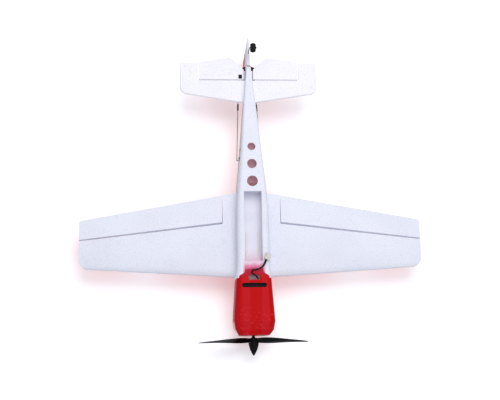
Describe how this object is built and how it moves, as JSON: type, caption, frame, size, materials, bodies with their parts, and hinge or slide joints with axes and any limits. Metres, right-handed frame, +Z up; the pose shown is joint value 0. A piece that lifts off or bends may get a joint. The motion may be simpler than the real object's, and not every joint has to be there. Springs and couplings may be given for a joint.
{
  "type": "radio controlled aeroplane",
  "caption": "Foam aerobatic model monoplane with an electric motor, tractor propeller, hinged control surfaces driven by servos, open belly battery bay and steerable tail wheel.",
  "frame": {"origin": "centre of the landing gear socket's two screw holes, on the seat plane in the belly", "axes": "+X towards the aeroplane's left wing tip, +Y aft towards the tail, +Z up; the nose points to -Y"},
  "size_m": [0.43, 0.4071, 0.0872],
  "materials": {
    "foam_white": "matte",
    "cowl_red": "satin",
    "canopy_smoke": "gloss",
    "black_plastic": "satin",
    "white_plastic": "satin",
    "clear_film": "satin",
    "black_wire": "satin",
    "steel": "satin",
    "aluminium": "satin",
    "copper_stator": "satin",
    "carbon": "satin",
    "plywood": "matte",
    "circuit_board": "satin",
    "foam_tape": "matte",
    "shrink_wrap": "satin",
    "cable_black": "satin",
    "tyre_black": "matte"
  },
  "bodies": {
    "airframe": {"fuselage_left": "foam_white", "fuselage_right": "foam_white", "cowl": "cowl_red", "canopy": "canopy_smoke", "battery_tray": "white_plastic", "battery_tape": "clear_film", "gear_socket": "black_plastic", "equipment_shelf": "plywood", "receiver_pad": "foam_tape", "receiver_board": "circuit_board", "speed_controller": "shrink_wrap", "antenna": "cable_black", "battery_lead": "cable_black", "battery_plug": "white_plastic", "firewall": "plywood", "motor_screws": "steel", "motor_stator": "copper_stator", "motor_bearings": "steel", "motor_wires": "cable_black", "wing_left": "foam_white", "wing_right": "foam_white", "aileron_hinges_left": "clear_film", "aileron_hinges_right": "clear_film", "wing_spar": "carbon", "stabiliser": "foam_white", "elevator_hinges": "clear_film", "fin": "foam_white", "rudder_hinges": "clear_film", "elevator_servo": "black_plastic", "rudder_servo": "black_plastic", "aileron_servo_left": "black_plastic", "aileron_servo_right": "black_plastic", "servo_screws": "steel"},
    "rotor": {"motor_bell": "aluminium", "motor_shaft": "steel", "propeller": "black_plastic", "spinner": "black_plastic"},
    "aileron_left": {"aileron_left": "foam_white", "aileron_horn_left": "black_plastic"},
    "aileron_right": {"aileron_right": "foam_white", "aileron_horn_right": "black_plastic"},
    "aileron_arm_left": {"aileron_arm_left": "black_plastic"},
    "aileron_arm_right": {"aileron_arm_right": "black_plastic"},
    "aileron_pushrod_left": {"aileron_pushrod_left": "black_wire"},
    "aileron_pushrod_right": {"aileron_pushrod_right": "black_wire"},
    "elevator": {"elevator_left": "foam_white", "elevator_right": "foam_white", "elevator_joiner": "black_plastic", "elevator_horn": "black_plastic"},
    "elevator_arm": {"elevator_arm": "black_plastic"},
    "elevator_pushrod": {"elevator_pushrod": "black_wire"},
    "rudder": {"rudder": "foam_white", "rudder_horn": "white_plastic", "tail_wheel_leg": "black_wire", "tail_wheel_collar": "black_plastic"},
    "tail_wheel": {"tail_wheel_hub": "black_plastic", "tail_wheel_tyre": "tyre_black"},
    "rudder_arm": {"rudder_arm": "black_plastic"},
    "rudder_pushrod": {"rudder_pushrod": "black_wire"}
  },
  "joints": [
    {"name": "propeller_spin", "type": "hinge", "parent": "airframe", "child": "rotor", "pos_m": [0, -0.0664, 0.024], "axis": [0, 1, 0], "continuous": true},
    {"name": "aileron_left_hinge", "type": "hinge", "parent": "airframe", "child": "aileron_left", "pos_m": [0.062, 0.07615, 0.022], "axis": [0.9934, -0.1146, 0], "range_deg": [-22, 22]},
    {"name": "aileron_right_hinge", "type": "hinge", "parent": "airframe", "child": "aileron_right", "pos_m": [-0.062, 0.07615, 0.022], "axis": [-0.9934, -0.1146, 0], "range_deg": [-22.5, 22.5]},
    {"name": "aileron_arm_left_turn", "type": "hinge", "parent": "airframe", "child": "aileron_arm_left", "pos_m": [0.0581, 0.04237, 0.022], "axis": [0.9934, -0.1146, 0], "range_deg": [-22.5, 22.5]},
    {"name": "aileron_arm_right_turn", "type": "hinge", "parent": "airframe", "child": "aileron_arm_right", "pos_m": [-0.0581, 0.04237, 0.022], "axis": [-0.9934, -0.1146, 0], "range_deg": [-22.5, 22.5]},
    {"name": "aileron_pushrod_left_turn", "type": "hinge", "parent": "aileron_arm_left", "child": "aileron_pushrod_left", "pos_m": [0.0581, 0.04237, 0.03], "axis": [0.9934, -0.1146, 0], "range_deg": [-22.5, 22.5]},
    {"name": "aileron_pushrod_right_turn", "type": "hinge", "parent": "aileron_arm_right", "child": "aileron_pushrod_right", "pos_m": [-0.0581, 0.04237, 0.03], "axis": [-0.9934, -0.1146, 0], "range_deg": [-22.5, 22.5]},
    {"name": "elevator_hinge", "type": "hinge", "parent": "airframe", "child": "elevator", "pos_m": [0, 0.2661, 0.026], "axis": [1, 0, 0], "range_deg": [-22, 22]},
    {"name": "elevator_arm_turn", "type": "hinge", "parent": "airframe", "child": "elevator_arm", "pos_m": [0.015, 0.162, 0.02], "axis": [1, 0, 0], "range_deg": [-22.5, 22.5]},
    {"name": "elevator_pushrod_turn", "type": "hinge", "parent": "elevator_arm", "child": "elevator_pushrod", "pos_m": [0.015, 0.162, 0.03], "axis": [1, 0, 0], "range_deg": [-22.5, 22.5]},
    {"name": "rudder_hinge", "type": "hinge", "parent": "airframe", "child": "rudder", "pos_m": [0, 0.2846, 0.04], "axis": [0, 0, 1], "range_deg": [-22, 22]},
    {"name": "tail_wheel_spin", "type": "hinge", "parent": "rudder", "child": "tail_wheel", "pos_m": [-0.0044, 0.303, 0.0025], "axis": [1, 0, 0], "continuous": true},
    {"name": "rudder_arm_turn", "type": "hinge", "parent": "airframe", "child": "rudder_arm", "pos_m": [-0.015, 0.162, 0.032], "axis": [1, 0, 0], "range_deg": [-22.5, 22.5]},
    {"name": "rudder_pushrod_turn", "type": "hinge", "parent": "rudder_arm", "child": "rudder_pushrod", "pos_m": [-0.015, 0.162, 0.04], "axis": [1, 0, 0], "range_deg": [-22.5, 22.5]}
  ],
  "couplings": [
    {"joint": "aileron_right_hinge", "follows": "aileron_left_hinge", "ratio": 1},
    {"joint": "aileron_arm_left_turn", "follows": "aileron_left_hinge", "ratio": 1},
    {"joint": "aileron_arm_right_turn", "follows": "aileron_left_hinge", "ratio": 1},
    {"joint": "aileron_pushrod_left_turn", "follows": "aileron_left_hinge", "ratio": -1},
    {"joint": "aileron_pushrod_right_turn", "follows": "aileron_left_hinge", "ratio": -1},
    {"joint": "elevator_arm_turn", "follows": "elevator_hinge", "ratio": 1},
    {"joint": "elevator_pushrod_turn", "follows": "elevator_hinge", "ratio": -1},
    {"joint": "rudder_arm_turn", "follows": "rudder_hinge", "ratio": 1},
    {"joint": "rudder_pushrod_turn", "follows": "rudder_hinge", "ratio": -1}
  ]
}
